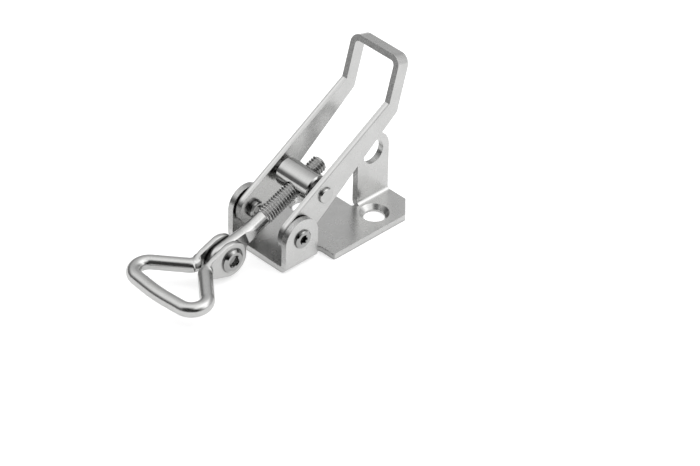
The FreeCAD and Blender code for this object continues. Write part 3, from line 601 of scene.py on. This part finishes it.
# %% [markdown]
# ## The bail
#
# One length of 5 mm wire, bent to a rounded triangle, with both ends flattened to ears that the rivet
# joins. A sweep in Blender keeps one section, so the rings are computed here: along the path they
# change from a tall section with flat sides at the ears to a plain circle. The press leaves a short,
# crisp shoulder where its jaws ended, and that is where the flats close in.

# %% Bent lines
ARC_DETAIL, LEAST_ARC = 1.5, 6


def swung(vector, angles):
    """A flat vector turned by each of a column of angles."""
    cos, sin = np.cos(angles), np.sin(angles)
    return np.hstack([cos * vector[0] - sin * vector[1], sin * vector[0] + cos * vector[1]])


def bent_path(corners, radii, step):
    """Points and directions along straight runs joined by tangent arcs.

    At each corner the arc starts radius times the tangent of half the turn before it, and its centre
    lies on the inner side, one radius away from both runs.
    """
    corners = [np.array(corner, float) for corner in corners]
    points, ways = [], []
    start = corners[0]
    for before, here, after, radius in zip(corners, corners[1:], corners[2:], radii):
        come = (here - before) / np.linalg.norm(here - before)
        go = (after - here) / np.linalg.norm(after - here)
        turn = math.atan2(come[0] * go[1] - come[1] * go[0], come @ go)
        reach = radius * math.tan(abs(turn) / 2)
        stop = here - come * reach
        share = np.arange(0, 1, step / max(np.linalg.norm(stop - start), step))[:, None]
        points.append(start + (stop - start) * share)
        ways.append(np.broadcast_to(come, points[-1].shape))

        inward = np.array([-come[1], come[0]]) * math.copysign(1, turn)
        count = max(int(abs(turn) * radius / step * ARC_DETAIL), LEAST_ARC)
        angles = np.linspace(0, turn, count, endpoint=False)[:, None]
        points.append(stop + inward * radius + swung(-inward * radius, angles))
        ways.append(swung(come, angles))
        start = here + go * reach
    last = corners[-1]
    share = np.linspace(0, 1, max(int(np.linalg.norm(last - start) / step), 2))[:, None]
    points.append(start + (last - start) * share)
    ways.append(np.broadcast_to(go, points[-1].shape))
    return np.vstack(points), np.vstack(ways)


LEG, BEND = 10, 4
elbow, _ = bent_path([(0, 0), (LEG, 0), (LEG, LEG)], [BEND], 0.1)
measured = np.linalg.norm(np.diff(elbow, axis=0), axis=1).sum()
expected = 2 * (LEG - BEND) + BEND * math.pi / 2
print("a test bend measures", round(measured, 2), "and should be", round(expected, 2))

# %% The bail's middle line
eye_axis = np.array(joints["bail_pivot"]["pos_m"])
BAIL_DIP = math.radians(1.0)
EAR_SIDE, EAR_RADIUS = 2.8 * MM, 6.3 * MM
KNEE, CORNER, CROWN = 11.0 * MM, (27.3 * MM, 23.0 * MM), 29.3 * MM
KNEE_BEND, CORNER_BEND, CROWN_BEND = 3.2 * MM, 5 * MM, 60 * MM
LINE_STEP = 0.25 * MM

bail_corners = [(-EAR_RADIUS, EAR_SIDE), (KNEE, EAR_SIDE), CORNER, (CROWN, 0),
                (CORNER[0], -CORNER[1]), (KNEE, -EAR_SIDE), (-EAR_RADIUS, -EAR_SIDE)]
bail_bends = [KNEE_BEND, CORNER_BEND, CROWN_BEND, CORNER_BEND, KNEE_BEND]
bail_line, bail_way = bent_path(bail_corners, bail_bends, LINE_STEP)
bail_run = np.concatenate([[0], np.cumsum(np.linalg.norm(np.diff(bail_line, axis=0), axis=1))])
bail_length = bail_run[-1]
print("the wire is", round(bail_length / MM, 1), "mm long along its middle line, ears included")

# %% The bail's rings
# Half the wire, half the ear's thickness, and half the ear's height at two distances from its hole.
WIRE, EAR_HALF = 2.5 * MM, 0.95 * MM
EAR_JOIN, EAR_JOIN_HALF = 1.6 * MM, 6.094 * MM
EAR_ROOT, EAR_ROOT_HALF = 7.5 * MM, 4.0 * MM
# The change from ear to wire, by distance from the hole, and how blunt the ear's section is.
ROUND_FROM, ROUND_TO = 7.0 * MM, 10.4 * MM
FLATS_END, CIRCLE_STARTS = 8.5 * MM, 9.7 * MM
BLUNT = 0.5
# The rings lie closest at the shoulder, which is a stretch of distances from the ear's tip. The first
# angle, in radians, keeps the first ring from being a mere point.
FINE_FROM, FINE_TO = 13.6 * MM, 17.2 * MM
EAR_STEP, SHOULDER_STEP, WIRE_STEP = 0.3 * MM, 0.10 * MM, 0.36 * MM
WIRE_ROUND, EAR_TIP_RINGS, FIRST_ANGLE = 96, 24, 0.02


def bail_rings():
    """Distance d runs along the wire from one ear's tip to the other's, angle t runs round the section.

    The section is an ellipse whose sides are cut off flat at half the stock's thickness. On the wire the
    flats lie on the circle and vanish. At the shoulder they close to the ear's thickness within a
    millimetre, while the height grows from the wire's radius to the ear's round end. On the ears the
    height follows the root of the sine, which makes the section's ends blunter than an ellipse's.
    """
    tip = EAR_RADIUS * (1 - np.cos(np.linspace(FIRST_ANGLE, math.pi / 2, EAR_TIP_RINGS)))
    ear = np.arange(EAR_RADIUS + EAR_STEP, FINE_FROM, EAR_STEP)
    shoulder = np.arange(FINE_FROM, FINE_TO, SHOULDER_STEP)
    wire = np.arange(FINE_TO, bail_length / 2, WIRE_STEP)
    half_way = np.concatenate([tip, ear, shoulder, wire])
    d = np.concatenate([half_way, (bail_length - half_way)[::-1]])
    line = np.stack([np.interp(d, bail_run, bail_line[:, k]) for k in (0, 1)], -1)
    way = np.stack([np.interp(d, bail_run, bail_way[:, k]) for k in (0, 1)], -1)
    way = way / np.linalg.norm(way, axis=1, keepdims=True)
    from_axis = np.minimum(d, bail_length - d)[:, None] - EAR_RADIUS
    t = full_turn(WIRE_ROUND)

    neck = np.interp(from_axis, [EAR_JOIN, EAR_ROOT], [EAR_JOIN_HALF, EAR_ROOT_HALF])
    tall = np.where(from_axis < EAR_JOIN, disc_half(EAR_RADIUS, from_axis), neck)
    roundness = smooth_step(from_axis, ROUND_FROM, ROUND_TO)
    tall = tall + roundness * (WIRE - tall)
    half = EAR_HALF + smooth_step(from_axis, FLATS_END, CIRCLE_STARTS) * (WIRE - EAR_HALF)
    half = half * rounded_tip(-from_axis / EAR_RADIUS)
    across = np.clip(WIRE * np.cos(t), -half, half)
    z = tall * np.sign(np.sin(t)) * np.abs(np.sin(t)) ** (BLUNT + (1 - BLUNT) * roundness)
    x = line[:, :1] - way[:, 1:] * across
    y = line[:, 1:] + way[:, :1] * across
    return np.stack([-x, y, z], -1)


bail_steel = steel("bail_steel", tone=0.46, roughness=0.235, grain=0.10, rim=0.04, painted_shade_power=0.6)
bail = skin("bail_wire", placed(bail_rings(), eye_axis, BAIL_DIP))
bail.data.materials.append(bail_steel)
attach(bail, "bail")
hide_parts("bail")

# %% [markdown]
# ## The rivets
#
# Each joint is held by a turned rivet with a six-lobed recess, upset on the other side. Its shape is
# nearly all in one line, turned about the axis. Only the recess isn't round: its wall moves in and out
# six times a turn. So the line's points carry a third number beside radius and height, which says how
# much of the lobes that point takes. The line's corners are rounded, because a sharp turned edge never
# leaves a tumbling drum, and each rounding has a support point on either side to keep the flats flat.
# The skins of the eye and of the ears have no holes: the rivet's shank goes through them out of sight.

# %% Turned shapes
LOBES, RIVET_ROUND = 6, 120
# A rounding's size in mm, its points, its largest share of a side, and how many sizes out its support is.
CORNER_SIZE, CORNER_POINTS, LARGEST_SHARE, SUPPORT = 0.07, 5, 0.33, 1.45


def rounded_line(points):
    """The corners of a line of (radius, height, lobes) points, in mm, rounded by short curves.

    Each curve is a parabola that starts and ends at the corner's size from it, or at a third of a short
    side. With u from 0 to 1 it is the corner, plus (1 - u) squared of the way back to its start, plus u
    squared of the way on to its end.
    """
    points = np.array(points, float)
    line = [points[:1]]
    share = np.linspace(0, 1, CORNER_POINTS)[:, None]
    for before, here, after in zip(points, points[1:], points[2:]):
        start, end = before - here, after - here
        start *= min(CORNER_SIZE / np.linalg.norm(start[:2]), LARGEST_SHARE)
        end *= min(CORNER_SIZE / np.linalg.norm(end[:2]), LARGEST_SHARE)
        curve = here + start * (1 - share) ** 2 + end * share ** 2
        line.append(np.vstack([here + start * SUPPORT, curve, here + end * SUPPORT]))
    return np.vstack(line + [points[-1:]])


def turned_rings(line, centre, outward, lobe, turn):
    """A line turned about Y through centre, its heights measured along outward, which is 1 or -1.

    The radius is the line's, plus lobes times the lobe's height times the cosine of six times the angle.
    """
    t = full_turn(RIVET_ROUND)
    radius, height, lobes = (line[:, k:k + 1] for k in range(3))
    radius = radius + lobes * lobe * np.cos(LOBES * (t + turn))
    x, z = radius * np.cos(t), radius * np.sin(t)
    y = np.broadcast_to(height * outward, x.shape)
    return np.stack([x, y, z], -1) * MM + np.array(centre)


# %% The rivets' lines
BAIL_LINE = rounded_line([
    # the recess
    (0.01, 0.02, 0), (1.70, 0.08, 1), (1.96, 0.85, 1), (2.27, 1.20, 0),
    # the head and the thin rim under it
    (3.25, 1.20, 0), (4.15, 0.55, 0), (4.22, 0.08, 0), (4.42, 0.05, 0), (4.42, -0.02, 0),
    # the shank
    (3.0, -0.02, 0), (3.0, -7.5, 0),
    # the upset tail
    (4.2, -7.5, 0), (4.2, -7.9, 0), (3.4, -8.7, 0), (0.01, -8.7, 0)])
PIVOT_LINE = rounded_line([
    # the recess
    (0.01, -0.65, 0), (1.22, -0.50, 1), (1.42, 0.62, 1), (1.72, 0.90, 0),
    # the head and the thin rim under it
    (2.78, 0.90, 0), (3.22, 0.58, 0), (3.20, 0.07, 0), (3.42, 0.04, 0), (3.42, -0.02, 0),
    # the shank
    (2.5, -0.02, 0), (2.5, -5.1, 0),
    # the button head inside the arm, with its dimple
    (3.1, -5.1, 0), (3.1, -6.5, 0), (2.6, -7.0, 0), (2.0, -7.0, 0), (1.0, -6.2, 0), (0.01, -6.2, 0)])
print("the rivets' lines have", len(BAIL_LINE), "and", len(PIVOT_LINE), "points")

# %% The three rivets
BAIL_EAR_OUTSIDE = EAR_SIDE + EAR_HALF
pivot = joints["handle_pivot"]["pos_m"]
# Each rivet has its node, its body, its line, the place under its head, the way its head looks along Y,
# the height of its lobes in mm and the turn of its recess.
RIVETS = [
    ("bail_rivet", "bail", BAIL_LINE, (eye_axis[0], -BAIL_EAR_OUTSIDE, eye_axis[2]), -1, 0.16, 0.30),
    ("pivot_rivet_near", "base", PIVOT_LINE, (pivot[0], -EAR_OUTSIDE, pivot[2]), -1, 0.19, 0.12),
    ("pivot_rivet_far", "base", PIVOT_LINE, (pivot[0], EAR_OUTSIDE, pivot[2]), 1, 0.19, 0.40),
]
# Strong painted shade from the ambient occlusion darkens the rivets' recesses and the thin rims under their
# heads.
rivet_steel = steel("rivet_steel", tone=0.32, roughness=0.13, grain=0.06, painted_shade_power=1.7, depth=2.5, rim=0.03)
for name, body, line, centre, outward, lobe, turn in RIVETS:
    rivet = skin("turned_" + name, turned_rings(line, centre, outward, lobe, turn))
    rivet.data.materials.append(rivet_steel)
    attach(rivet, body)
    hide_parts(name)

# %% [markdown]
# ## The last step
#
# The two boxes are kept, so that it shows whether the dressed latch still has the size of its solids.

# %% Sizes and finish
dressed_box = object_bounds()
growth = [(b - a) / MM for p, q in zip(cad_box, dressed_box) for a, b in zip(p, q)]
print("box grew by (mm)", [round(step, 2) for step in growth])
